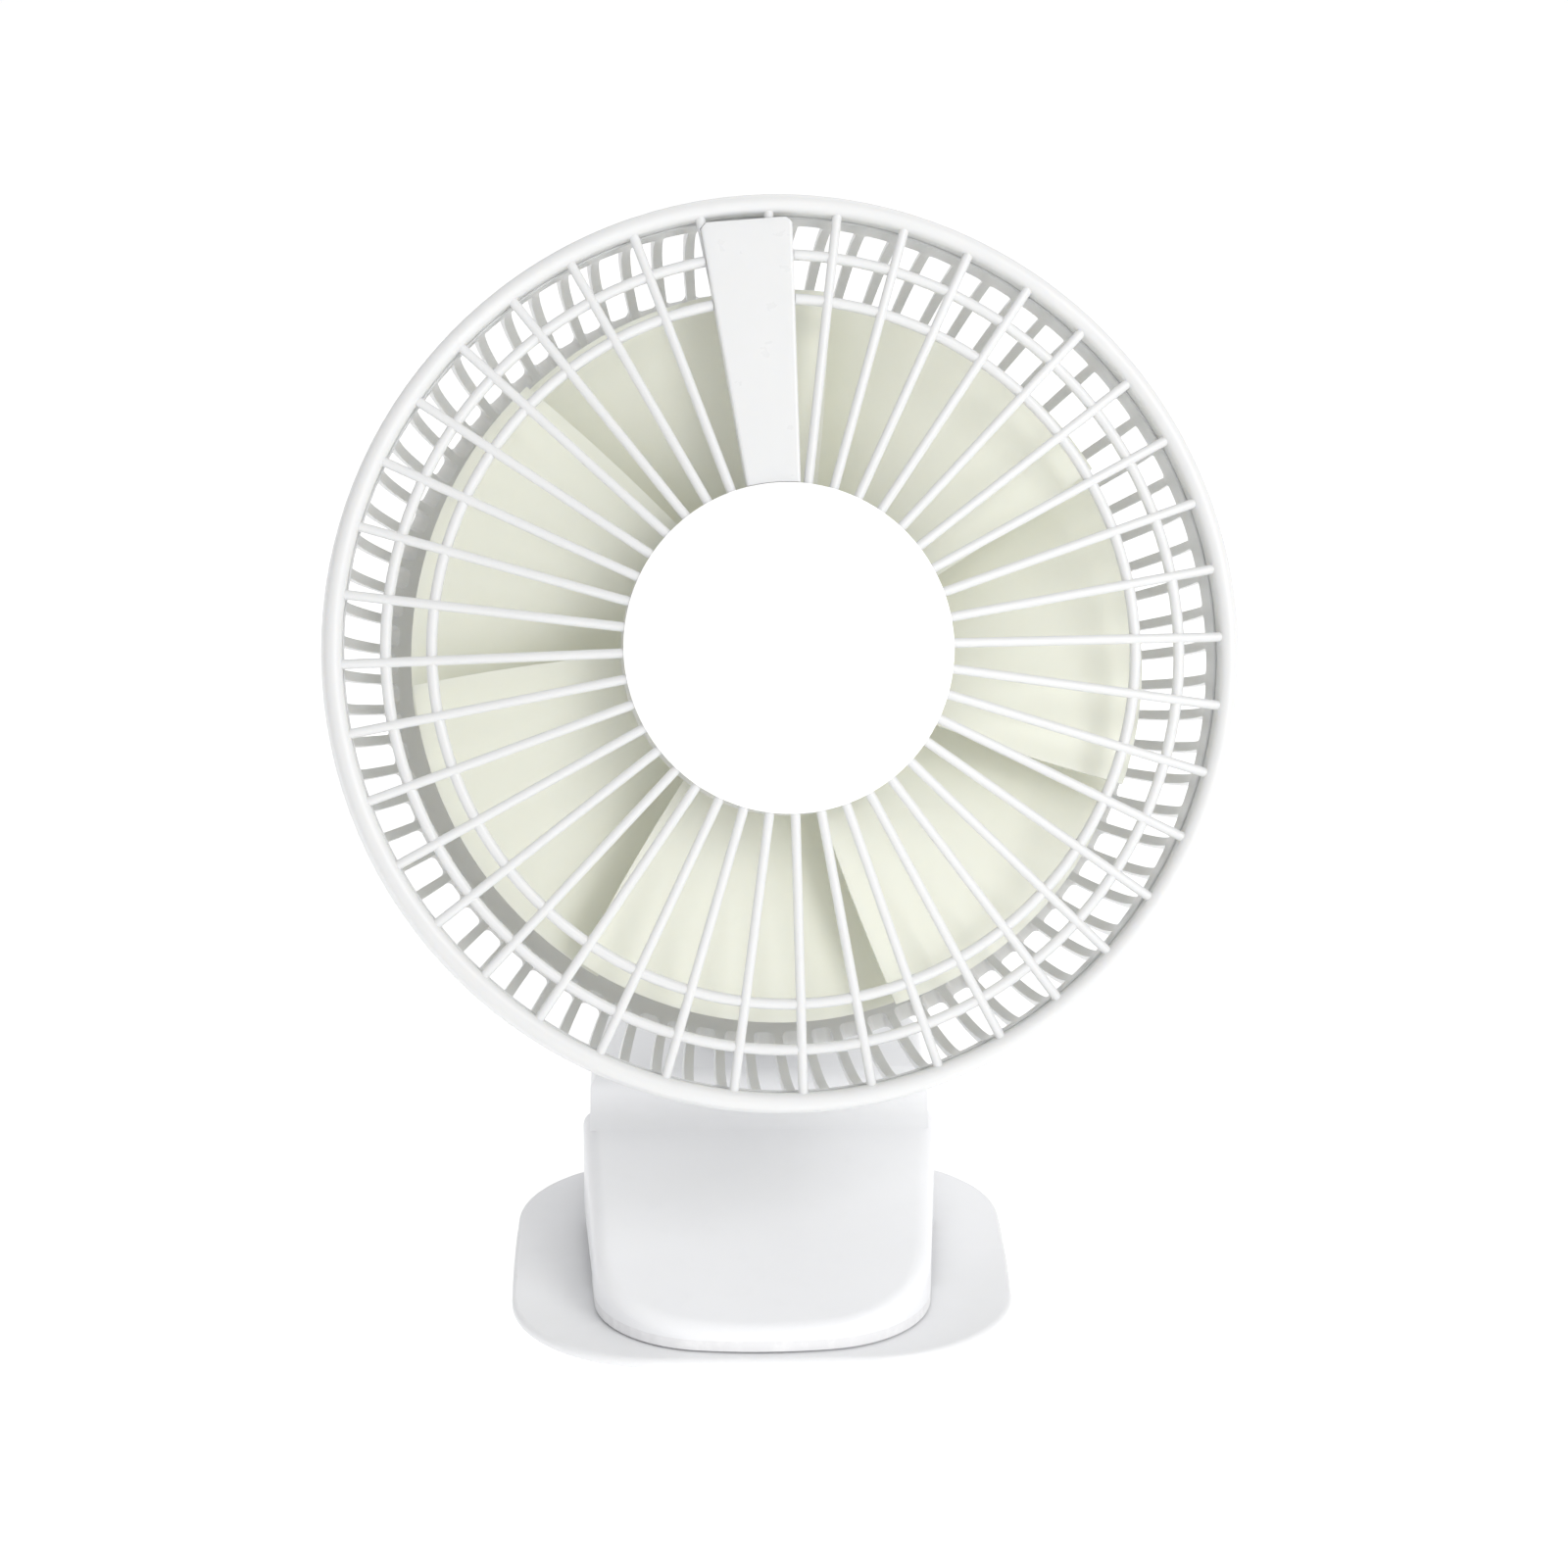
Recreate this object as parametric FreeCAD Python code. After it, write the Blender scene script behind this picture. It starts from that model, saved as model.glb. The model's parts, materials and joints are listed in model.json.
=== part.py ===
import FreeCAD, Part
import math
import os

# Clip-on desk fan. Millimetres, +Z up. The origin is the centre of the underside
# of the base plate; the fan blows towards -Y and +X is its right as seen from -Y.
# The head is drawn in a frame of its own: X right, Y back along the fan's axis
# ("depth", 0 at the inner grille ring) and Z up. It is then tilted and swivelled.

# ---- driving dimensions -------------------------------------------------------
# rest pose
HEAD_TILT = 21.0            # degrees, axis raised above level
HEAD_SWIVEL = 5.0           # degrees, turned towards +X
SWIVEL_Y = 34.0             # swivel axis, behind the plate's centre
TILT_LEAN = 5.1             # tilt pivot, behind the swivel axis

# cage
GUARD_R = 74.0
RIM_WIDTH = 3.4
RIM_SKIRT = 1.6
RIM_FRONT = 0.6
RIM_BACK = 10.0
RIM_LIP = 1.6               # straight inner edge of the front lip
RIM_ROUND = 0.4             # how far the lip's round edge stops short of the skirt
RIM_SEAT = 4.6              # thickness of the lip, which the rear half's edge meets
INNER_RING_R = 0.7635 * GUARD_R
OUTER_RING_R = 0.862 * GUARD_R
RING_WIRE_R = 0.9
SPOKE_WIRE_R = 0.78
SPOKE_COUNT = 40
HUB_R = 26.4
HUB_WALL = 2.0
HUB_FRONT = -3.9
HUB_BACK = 3.4
SPOKE_HUB_DEPTH = -2.9
SPOKE_RIM_DEPTH = 2.0
CAGE_DEPTH = 42.4
CAGE_WALL = 1.6
CAGE_SHOULDER_R = GUARD_R - 11.0
CAGE_BAND = 3.0             # plain band behind the parting line
CAGE_STEP = 1.4             # the wall steps in by this much behind the band
CAGE_BELLY_IN = 3.8         # the wall is this far inside the rim halfway back
CAGE_CORNER = 4.5           # radius lost to the round back corner
CAGE_CORNER_DEPTH = 2.8
SIDE_SLOT_COUNT = 80
SIDE_SLOT_FRONT = 15.5
SIDE_SLOT_BACK = CAGE_DEPTH - 3.6
SIDE_SLAT = 1.5
BACK_SLAT = 2.2
BACK_RING_WIDTH = 2.4       # plain ring between the two rows of back slots
SLOT_ROUND = 1.0
MOTOR_SEAT_R = 25.0
JOIN_GAP = 0.15             # parting gap between the two halves of the cage

# lamp and its wire cover
LAMP_DOME = 3.0
LAMP_WALL = 1.4
LAMP_BOARD_R = HUB_R - 6.4
LED_SIZE = 2.8
LED_T = 0.8
BOARD_T = 1.2
LED_COUNT = 8
COVER_ANGLE = 93.1          # degrees, anticlockwise from +X
COVER_RIM_WIDTH = 14.9
COVER_HUB_WIDTH = 8.4
COVER_T = 2.4
COVER_WALL = 1.2
COVER_NICK = 1.0            # cut corners at its wide end
COVER_PROUD = 0.2           # how far it stands in front of the spokes
COVER_FIT = 0.1

# impeller and motor
BLADE_COUNT = 7
BLADE_R = GUARD_R - 14.5
BLADE_T = 1.3
BLADE_COVER = 1.1           # share of the circle that the blades cover
BLADE_CAMBER = 0.14         # bow of the blade as a share of its depth
BLADE_PITCH_ROOT = 14.5     # depth from leading to trailing edge
BLADE_PITCH_BELLY = 13.0
BLADE_PITCH_TIP = 10.5
BLADE_SWEEP = 8.0
IMPELLER_HUB_R = 19.5
HUB_CUP_WALL = 1.5
LOCK_R = 2.6
LOCK_T = 0.9
IMPELLER_FRONT = 5.6
IMPELLER_BACK = 24.0
SHAFT_R = 1.0
SHAFT_CLEARANCE = 0.03
CAN_R = 12.0
CAN_WALL = 0.8
CAN_FRONT = 12.5
CAN_NOSE = 1.0              # how far the front bearing's housing stands out
CAP_T = 2.0
ROTOR_R = 8.8
ROTOR_GAP = 0.6             # air gap between the rotor and the magnets
BEARING_R = 3.0
BEARING_LENGTH = 2.6
MOTOR_SCREW_X = 8.0

# rear cover and tilt joint
REAR_COVER_R = MOTOR_SEAT_R - 1.0
REAR_COVER_BACK = CAGE_DEPTH + 6.9
REAR_COVER_WALL = 1.8
REAR_COVER_BEVEL = 3.5
COVER_SCREW_IN = 4.0        # its screws, in from its edge
COVER_SCREW_R = 0.9
DRIVER_CHIP = 6.0           # side of the chip on the motor's driver board
LUG_HALF = 4.6
LUG_R = 6.4
TILT_BOLT_R = 1.5
PIN_CLEARANCE = 0.05
EAR_R = 7.0
EAR_GAP = 0.8               # between the lug and each ear, part filled by a washer
WASHER_T = 0.4
TILT_DEPTH = REAR_COVER_BACK + EAR_R + 0.7      # pivot, behind the inner grille ring

# neck and swivel joint
POST_R = 5.0
POST_WALL = 1.6
NECK_HALF = 10.0
NECK_WALL = 2.0
NECK_FOOT_HALF = POST_R + POST_WALL + NECK_WALL + 0.4
NECK_ROUND = 3.2
FORK_DEPTH = 10.0           # from the tilt pivot down to the floor of the fork
FLANGE_R = POST_R + 6.5
FLANGE_T = 2.4
SWIVEL_GAP = 0.4
RUNNING_FIT = 0.05
NUT_T = 2.2
NUT_R = 3.1
NECK_SCREW_BITE = 4.0       # screw length in the front shell
BOSS_HEIGHT = 6.6           # swivel bearing in the body's roof
BOSS_WALL = 2.5
RING_T = 1.2
RING_WIDTH = 2.0

# body, the clip's upper jaw
JAW_FRONT = -39.0
JAW_FRONT_WIDTH = 54.0
JAW_REAR_WIDTH = 60.6
JAW_REAR_Y = 14.0
JAW_BOW = 5.0
JAW_CORNER_R = 20.0
JAW_SLOPE = 17.5            # degrees
JAW_LIP = 2.0               # height of the front edge
BLOCK_WIDTH = 58.0
BLOCK_FRONT = 13.0
BLOCK_BACK = 46.0
BLOCK_TOP = 30.4
BLOCK_CORNER_R = 9.0
BLEND_R = 6.0               # hollow curve from the jaw's slope up to the block
BODY_WALL = 1.8
BODY_BOTTOM = 4.6
TAIL_START = 28.0
TAIL_SLOPE = 22.0           # degrees
EDGE_R = 3.0
PAD_T = 1.8
PAD_DEPTH = 26.0
JAW_SCREW_X = 20.0
TAIL_SCREW_X = 13.2

# base plate, the clip's lower jaw
PLATE_WIDTH = 84.0
PLATE_DEPTH = 82.0
PLATE_BOW = 1.2
PLATE_CORNER_R = 25.0
PLATE_T = 1.9
PLATE_EDGE_R = 0.8
PLATE_DISH = 0.4
SOLE_T = 0.6
SOLE_INSET = 7.0

# clip hinge
HINGE_Y = 24.0
HINGE_Z = 11.0
HINGE_PIN_R = 1.5
EAR_X = 20.0
EAR_T = 4.0
EAR_PLAY = 0.5              # beside each hinge ear
PLATE_EAR_R = 5.0
PIN_CLIP_T = 0.8
SPRING_COIL_R = 3.2
SPRING_WIRE_R = 0.6
SPRING_PITCH = 1.6
SPRING_TURNS = 6
SPRING_LEG = 9.5

# battery, controls and socket
CELL_WIDTH = 32.0
CELL_LENGTH = 23.0
CELL_T = 5.0
CONTROL_BOARD_WIDTH = 44.0
CONTROL_BOARD_LOW = 14.0
BOARD_BEHIND = 2.6          # from the inside of the back wall to the board
SWITCH_HALF = 3.0
CHIP_X = 6.0
CHIP_T = 1.0
PLUG_X = 9.0
PLUG_T = 3.0
BUTTON_R = 4.2
BUTTON_SINK = 1.2           # how far its cap reaches into the body
BUTTON_PROUD = 0.9
BUTTON_Z = 20.0
PART_GAP = 0.3              # between pieces that move past each other
USB_X = -14.0
USB_WIDTH = 9.0
USB_HEIGHT = 3.2
USB_WALL = 0.35
LENS_X = 13.0
LENS_PITCH = 4.0
LENS_COUNT = 3
LENS_R = 0.9

# screws, all with a round head
SCREW_R = 1.0
SCREW_POST_R = 2.6
SCREW_HEAD_T = 1.2

# heights that follow from the sizes above
LEVEL_CLEARANCE = 0.2       # a level cage just clears the body
TILT_HEIGHT = BLOCK_TOP + CAGE_SHOULDER_R + LEVEL_CLEARANCE     # pivot above the desk
NECK_SPLIT_TOP = TILT_HEIGHT - EAR_R - 6.6      # top of the neck's front shell

# ---- small helpers --------------------------------------------------------------
UP = FreeCAD.Vector(0, 0, 1)
BACK = FreeCAD.Vector(0, 1, 0)
RIGHT = FreeCAD.Vector(1, 0, 0)
CENTRE = FreeCAD.Vector(0, 0, 0)


def point(x, y, z):
    return FreeCAD.Vector(x, y, z)


def box(x0, x1, y0, y1, z0, z1):
    return Part.makeBox(x1 - x0, y1 - y0, z1 - z0, point(x0, y0, z0))


def rod_y(radius, front, back, x=0.0, z=0.0):
    return Part.makeCylinder(radius, back - front, point(x, front, z), BACK)


def rod_z(radius, bottom, top, x=0.0, y=0.0):
    return Part.makeCylinder(radius, top - bottom, point(x, y, bottom), UP)


def rod_x(radius, left, right, y=0.0, z=0.0):
    return Part.makeCylinder(radius, right - left, point(left, y, z), RIGHT)


def tube_y(outer, inner, front, back):
    return rod_y(outer, front, back).cut(rod_y(inner, front, back))


def spun(pairs):
    """Solid of revolution about the fan's axis from (radius, depth) pairs."""
    corners = [point(radius, depth, 0) for radius, depth in pairs]
    face = Part.Face(Part.makePolygon(corners + corners[:1]))
    return face.revolve(CENTRE, BACK, 360)


def turned(shape, degrees):
    """Turn about the fan's axis, anticlockwise as seen from the front."""
    copy = shape.copy()
    copy.rotate(CENTRE, point(0, -1, 0), degrees)
    return copy


def around(shape, count, start=0.0):
    return [turned(shape, start + 360.0 * step / count) for step in range(count)]


def moved(shape, x=0.0, y=0.0, z=0.0):
    copy = shape.copy()
    copy.translate(point(x, y, z))
    return copy


def side_prism(pairs, left, right):
    """Prism along X over a side outline of (y, z) pairs."""
    corners = [point(left, y, z) for y, z in pairs]
    face = Part.Face(Part.makePolygon(corners + corners[:1]))
    return face.extrude(point(right - left, 0, 0))


def front_prism(pairs, front, back):
    """Prism along Y over an outline of (x, z) pairs."""
    corners = [point(x, front, z) for x, z in pairs]
    face = Part.Face(Part.makePolygon(corners + corners[:1]))
    return face.extrude(point(0, back - front, 0))


def upright_edges(shape):
    found = []
    for edge in shape.Edges:
        if len(edge.Vertexes) == 2:
            ends = [vertex.Point for vertex in edge.Vertexes]
            if (ends[0] - ends[1]).cross(UP).Length < 1e-6:
                found.append(edge)
    return found


def edges_where(shape, test):
    return [edge for edge in shape.Edges if test(edge.BoundBox)]


def mirrored_x(shape):
    return shape.mirror(CENTRE, RIGHT)


def solid_of(shape):
    """The one solid in a boolean result."""
    return shape.removeSplitter().Solids[0]


def group(solids):
    return Part.makeCompound(solids)


def place_head(shape):
    """From the head's own frame to its rest pose."""
    copy = moved(shape, y=-TILT_DEPTH)
    copy.rotate(CENTRE, RIGHT, -HEAD_TILT)
    copy.translate(point(0, TILT_LEAN, TILT_HEIGHT))
    return place_neck(copy)


def place_neck(shape):
    """From the neck's own frame, on the swivel axis, to its rest pose."""
    copy = shape.copy()
    copy.rotate(CENTRE, UP, HEAD_SWIVEL)
    copy.translate(point(0, SWIVEL_Y, 0))
    return copy


def save(name, shape):
    shape.exportStep(os.path.join("parts", name + ".step"))


# ---- front of the cage ------------------------------------------------------------
RIM_R = GUARD_R - RIM_WIDTH                    # inside of the front lip
RIM_SEAT_DEPTH = RIM_FRONT + RIM_SEAT
SPOKE_SLOPE = math.atan2(SPOKE_RIM_DEPTH - SPOKE_HUB_DEPTH, RIM_R - HUB_R)


def spoke_depth(radius):
    return SPOKE_HUB_DEPTH + (radius - HUB_R) * math.tan(SPOKE_SLOPE)


def spoke():
    start = HUB_R - HUB_WALL / 2
    end = RIM_R + RIM_WIDTH / 2
    first = point(start, spoke_depth(start), 0)
    last = point(end, spoke_depth(end), 0)
    return Part.makeCylinder(SPOKE_WIRE_R, (last - first).Length, first, last - first)


def front_rim():
    inner_edge = point(RIM_R, RIM_FRONT + RIM_LIP, 0)
    crown = point(RIM_R + 0.45 * RIM_WIDTH, RIM_FRONT, 0)
    outer_edge = point(GUARD_R - RIM_ROUND, RIM_FRONT + RIM_LIP + RIM_ROUND, 0)
    lip = Part.Arc(inner_edge, crown, outer_edge).toShape()
    skirt = Part.makePolygon([
        outer_edge,
        point(GUARD_R, RIM_SEAT_DEPTH + 2 * RIM_ROUND, 0),
        point(GUARD_R, RIM_BACK, 0),
        point(GUARD_R - RIM_SKIRT, RIM_BACK, 0),
        point(GUARD_R - RIM_SKIRT, RIM_SEAT_DEPTH, 0),
        point(RIM_R, RIM_SEAT_DEPTH, 0),
        inner_edge,
    ])
    face = Part.Face(Part.Wire([lip] + skirt.Edges))
    return face.revolve(CENTRE, BACK, 360)


def guard_ring(radius):
    depth = spoke_depth(radius) + SPOKE_WIRE_R * 0.6
    return Part.makeTorus(radius, RING_WIRE_R, point(0, depth, 0), BACK)


def lamp_cup():
    wall = tube_y(HUB_R, HUB_R - HUB_WALL, HUB_FRONT, HUB_BACK)
    floor = rod_y(HUB_R, HUB_BACK - LAMP_WALL, HUB_BACK)
    wire_hole = rod_y(LAMP_WALL, HUB_BACK - 2 * LAMP_WALL, HUB_BACK + 1, z=HUB_R / 2)
    return wall.fuse(floor).cut(wire_hole)


def along_spokes(shape):
    """Lean a piece drawn along +X back to the slope of the spokes."""
    copy = shape.copy()
    copy.rotate(point(HUB_R, SPOKE_HUB_DEPTH, 0), UP, math.degrees(SPOKE_SLOPE))
    return copy


def cover_slab(margin):
    """Tapered bar along +X, laid along the slope of the spokes."""
    inner = HUB_R - HUB_WALL
    outer = RIM_R - 3 * PART_GAP + margin
    half_in = COVER_HUB_WIDTH / 2 + margin
    half_out = COVER_RIM_WIDTH / 2 + margin
    corners = [(inner, -half_in), (outer - COVER_NICK, -half_out), (outer, COVER_NICK - half_out),
               (outer, half_out - COVER_NICK), (outer - COVER_NICK, half_out), (inner, half_in)]
    front = SPOKE_HUB_DEPTH - SPOKE_WIRE_R - COVER_PROUD - margin
    slab = along_spokes(front_prism(corners, front, front + COVER_T + 2 * margin))
    return slab.cut(rod_y(HUB_R + COVER_FIT - margin, front - HUB_WALL, RIM_BACK))


def wire_channel():
    """Cutter for the trough behind the cover, where the lamp's wires run."""
    inner = HUB_R + COVER_WALL + PART_GAP
    outer = RIM_R - 2.5 * COVER_WALL
    half_in = COVER_HUB_WIDTH / 2 - COVER_WALL
    half_out = COVER_RIM_WIDTH / 2 - COVER_WALL
    corners = [(inner, -half_in), (outer, -half_out), (outer, half_out), (inner, half_in)]
    depth = SPOKE_HUB_DEPTH - SPOKE_WIRE_R - COVER_PROUD + COVER_WALL
    return along_spokes(front_prism(corners, depth, depth + 2 * COVER_T))


def front_guard():
    rings = [guard_ring(INNER_RING_R), guard_ring(OUTER_RING_R)]
    shape = front_rim().fuse(around(spoke(), SPOKE_COUNT) + rings + [lamp_cup()])
    return solid_of(shape.cut(turned(cover_slab(COVER_FIT), COVER_ANGLE)))


def wire_cover():
    slab = cover_slab(0.0)
    front = min(vertex.Point.y for vertex in slab.Vertexes)
    long_edges = edges_where(slab, lambda b: b.XLength > RIM_R / 3 and b.YMin < front + 0.1)
    slab = slab.makeFillet(0.5, long_edges)
    return turned(slab.cut(wire_channel()), COVER_ANGLE)


def lamp_diffuser():
    edge = HUB_FRONT
    apex = edge - LAMP_DOME
    radius = HUB_R
    sphere_r = (radius ** 2 + LAMP_DOME ** 2) / (2 * LAMP_DOME)
    outer = Part.makeSphere(sphere_r, point(0, apex + sphere_r, 0))
    inner = Part.makeSphere(sphere_r - LAMP_WALL, point(0, apex + sphere_r, 0))
    dome = outer.cut(inner).common(rod_y(radius, apex - 1, edge))
    inner_r = radius - HUB_WALL - LAMP_WALL
    skirt = tube_y(radius - HUB_WALL - COVER_FIT, inner_r, edge - LAMP_DOME / 3, edge + LAMP_DOME)
    collar = tube_y(radius, inner_r, edge - LAMP_WALL / 4, edge)
    return solid_of(dome.fuse([skirt.common(outer), collar.common(outer)]))


def lamp_board():
    return rod_y(LAMP_BOARD_R, HUB_BACK - LAMP_WALL - 2 * BOARD_T, HUB_BACK - LAMP_WALL - BOARD_T)


def lamp_leds():
    back = HUB_BACK - LAMP_WALL - 2 * BOARD_T
    middle = 0.7 * LAMP_BOARD_R
    half = LED_SIZE / 2
    led = box(middle - half, middle + half, back - LED_T, back, -half, half)
    return group(around(led, LED_COUNT))


# ---- back of the cage -------------------------------------------------------------
BAND_BACK = RIM_BACK + CAGE_BAND
WALL_FRONT = BAND_BACK + CAGE_STEP


def cage_profile(shrink):
    """Side wall and round corner of the cage as edges, drawn in by the wall thickness."""
    front = point(GUARD_R - CAGE_STEP - shrink, WALL_FRONT, 0)
    belly = point(GUARD_R - CAGE_BELLY_IN - shrink, (WALL_FRONT + CAGE_DEPTH) / 2, 0)
    shoulder = point(CAGE_SHOULDER_R - shrink, CAGE_DEPTH - CAGE_CORNER_DEPTH - 0.6 * shrink, 0)
    crown = point(CAGE_SHOULDER_R - 0.4 * CAGE_CORNER - shrink,
                  CAGE_DEPTH - 0.3 * CAGE_CORNER_DEPTH - 0.9 * shrink, 0)
    end = point(CAGE_SHOULDER_R - CAGE_CORNER - shrink, CAGE_DEPTH - shrink, 0)
    return [Part.Arc(front, belly, shoulder).toShape(), Part.Arc(shoulder, crown, end).toShape()]


def cage_shell():
    spigot_r = GUARD_R - RIM_SKIRT - JOIN_GAP
    spigot_front = RIM_SEAT_DEPTH + JOIN_GAP
    outer = cage_profile(0.0)
    inner = cage_profile(CAGE_WALL)
    lead_in = Part.makePolygon([
        point(GUARD_R - CAGE_STEP - CAGE_WALL, WALL_FRONT, 0),
        point(spigot_r - CAGE_WALL, BAND_BACK, 0),
        point(spigot_r - CAGE_WALL, spigot_front, 0),
        point(spigot_r, spigot_front, 0),
        point(spigot_r, RIM_BACK + JOIN_GAP, 0),
        point(GUARD_R, RIM_BACK + JOIN_GAP, 0),
        point(GUARD_R, BAND_BACK, 0),
        point(GUARD_R - CAGE_STEP, WALL_FRONT, 0),
    ])
    plate_r = CAGE_SHOULDER_R - CAGE_CORNER
    plate = Part.makePolygon([
        point(plate_r, CAGE_DEPTH, 0),
        point(0, CAGE_DEPTH, 0),
        point(0, CAGE_DEPTH - CAGE_WALL, 0),
        point(plate_r - CAGE_WALL, CAGE_DEPTH - CAGE_WALL, 0),
    ])
    edges = Part.__sortEdges__(outer + inner + lead_in.Edges + plate.Edges)
    return Part.Face(Part.Wire(edges)).revolve(CENTRE, BACK, 360)


def side_slot():
    """Cutter for one slot of the side wall, pointing along +X."""
    pitch = 2 * math.pi / SIDE_SLOT_COUNT
    half_front = ((GUARD_R - CAGE_STEP) * pitch - SIDE_SLAT) / 2
    half_back = (CAGE_SHOULDER_R * pitch - SIDE_SLAT) / 2
    corners = [(SIDE_SLOT_FRONT, -half_front), (SIDE_SLOT_BACK, -half_back),
               (SIDE_SLOT_BACK, half_back), (SIDE_SLOT_FRONT, half_front)]
    prism = side_prism(corners, CAGE_SHOULDER_R - 2 * CAGE_CORNER_DEPTH, GUARD_R + 1)
    along = edges_where(prism, lambda b: b.XLength > CAGE_CORNER_DEPTH)
    return prism.makeFillet(SLOT_ROUND, along)


def back_slot(inner, outer):
    """Cutter for one slot of the back plate, pointing along +X."""
    pitch = 2 * math.pi / SPOKE_COUNT
    half_in = (inner * pitch - BACK_SLAT) / 2
    half_out = (outer * pitch - BACK_SLAT) / 2
    corners = [(inner, -half_in), (outer, -half_out), (outer, half_out), (inner, half_in)]
    prism = front_prism(corners, CAGE_DEPTH - 2 * CAGE_WALL, CAGE_DEPTH + CAGE_WALL)
    along = edges_where(prism, lambda b: b.YLength > CAGE_WALL)
    return prism.makeFillet(min(SLOT_ROUND, 0.9 * half_in), along)


def screw_circle():
    """Places (x, z) of the rear cover's three screws."""
    radius = REAR_COVER_R - COVER_SCREW_IN
    angles = [math.radians(90 + 120 * step) for step in range(3)]
    return [(radius * math.cos(a), radius * math.sin(a)) for a in angles]


def rear_guard():
    inner = MOTOR_SEAT_R + CAGE_WALL
    outer = CAGE_SHOULDER_R - CAGE_CORNER - 2.0
    middle = (inner + outer) / 2
    cutters = around(side_slot(), SIDE_SLOT_COUNT, 180.0 / SIDE_SLOT_COUNT)
    cutters += around(back_slot(inner, middle - BACK_RING_WIDTH / 2), SPOKE_COUNT)
    cutters += around(back_slot(middle + BACK_RING_WIDTH / 2, outer), SPOKE_COUNT)
    front, back = CAGE_DEPTH - 2 * CAGE_WALL, CAGE_DEPTH + 1
    cutters.append(rod_y(BEARING_R + 1, front, back))
    for side in (-1, 1):
        cutters.append(rod_y(SCREW_R, front, back, x=side * MOTOR_SCREW_X))
    for x, z in screw_circle():
        cutters.append(rod_y(COVER_SCREW_R, front, back, x=x, z=z))
    return solid_of(cage_shell().cut(cutters))


# ---- impeller ---------------------------------------------------------------------
def blade_section(radius, width, height, sweep):
    """Thin cambered strip across the blade, square to its radius."""
    middle = (IMPELLER_FRONT + IMPELLER_BACK - BLADE_T) / 2
    camber = BLADE_CAMBER * height
    strips = []
    for offset in (0.0, BLADE_T):
        strips.append([
            point(radius, middle - height / 2 + offset, sweep - width / 2),
            point(radius, middle - camber + offset, sweep),
            point(radius, middle + height / 2 + offset, sweep + width / 2),
        ])
    front = Part.Arc(*strips[0]).toShape()
    back = Part.Arc(*strips[1]).toShape()
    ends = [Part.makeLine(strips[0][2], strips[1][2]), Part.makeLine(strips[1][0], strips[0][0])]
    return Part.Wire(Part.__sortEdges__([front, ends[0], back, ends[1]]))


def blade_width(radius):
    """Wide enough for neighbouring blades to overlap as seen from the front."""
    return 2 * radius * math.tan(BLADE_COVER * math.pi / BLADE_COUNT)


def blade():
    root_r = IMPELLER_HUB_R - 0.8 * HUB_CUP_WALL
    belly_r = 0.62 * BLADE_R
    tip_r = 1.01 * BLADE_R
    root = blade_section(root_r, blade_width(root_r), BLADE_PITCH_ROOT, 0.0)
    belly = blade_section(belly_r, blade_width(belly_r), BLADE_PITCH_BELLY, 0.35 * BLADE_SWEEP)
    tip = blade_section(tip_r, blade_width(tip_r), BLADE_PITCH_TIP, BLADE_SWEEP)
    strip = Part.makeLoft([root, belly, tip], True)
    return strip.common(rod_y(BLADE_R, IMPELLER_FRONT, CAGE_DEPTH))


def impeller():
    cup = rod_y(IMPELLER_HUB_R, IMPELLER_FRONT, IMPELLER_BACK)
    front_edge = edges_where(cup, lambda b: b.YMax < IMPELLER_FRONT + 0.1)
    cup = cup.makeFillet(1.3 * HUB_CUP_WALL, front_edge)
    hollow = rod_y(IMPELLER_HUB_R - HUB_CUP_WALL, IMPELLER_FRONT + HUB_CUP_WALL, CAGE_DEPTH)
    boss = rod_y(BEARING_R + 0.5, IMPELLER_FRONT, CAN_FRONT - CAN_NOSE - 2 * PART_GAP)
    shape = cup.fuse(around(blade(), BLADE_COUNT)).cut(hollow).fuse(boss)
    return solid_of(shape.cut(rod_y(SHAFT_R, 0, CAGE_DEPTH)))


def impeller_lock():
    return tube_y(LOCK_R, SHAFT_R, IMPELLER_FRONT - LOCK_T, IMPELLER_FRONT)


# ---- motor ------------------------------------------------------------------------
CAN_BACK = CAGE_DEPTH - CAGE_WALL
ROTOR_FRONT = CAN_FRONT + 5.0
ROTOR_BACK = CAN_BACK - 9.0


def motor_can():
    body = rod_y(CAN_R, CAN_FRONT, CAN_BACK - CAP_T)
    nose = rod_y(BEARING_R + CAN_WALL, CAN_FRONT - CAN_NOSE, CAN_FRONT + CAN_WALL)
    hollow = rod_y(CAN_R - CAN_WALL, CAN_FRONT + CAN_WALL, CAN_BACK)
    bore = rod_y(BEARING_R, CAN_FRONT - 2 * CAN_NOSE, CAN_FRONT + CAN_WALL)
    return solid_of(body.fuse(nose).cut([hollow, bore]))


def motor_end_cap():
    front = CAN_BACK - 2 * CAP_T
    disc = rod_y(CAN_R, CAN_BACK - CAP_T, CAN_BACK)
    boss = rod_y(BEARING_R + CAN_WALL, front, CAN_BACK)
    holes = [rod_y(BEARING_R, front - 1, CAN_BACK + 1)]
    for side in (-1, 1):
        holes.append(rod_y(SCREW_R, front - 1, CAN_BACK + 1, x=side * MOTOR_SCREW_X))
    return solid_of(disc.fuse(boss).cut(holes))


def motor_bearings():
    bore = SHAFT_R + SHAFT_CLEARANCE
    front = tube_y(BEARING_R, bore, CAN_FRONT - CAN_NOSE, CAN_FRONT + CAN_WALL)
    rear_end = CAN_BACK - CAP_T / 2
    return group([front, tube_y(BEARING_R, bore, rear_end - BEARING_LENGTH, rear_end)])


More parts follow.
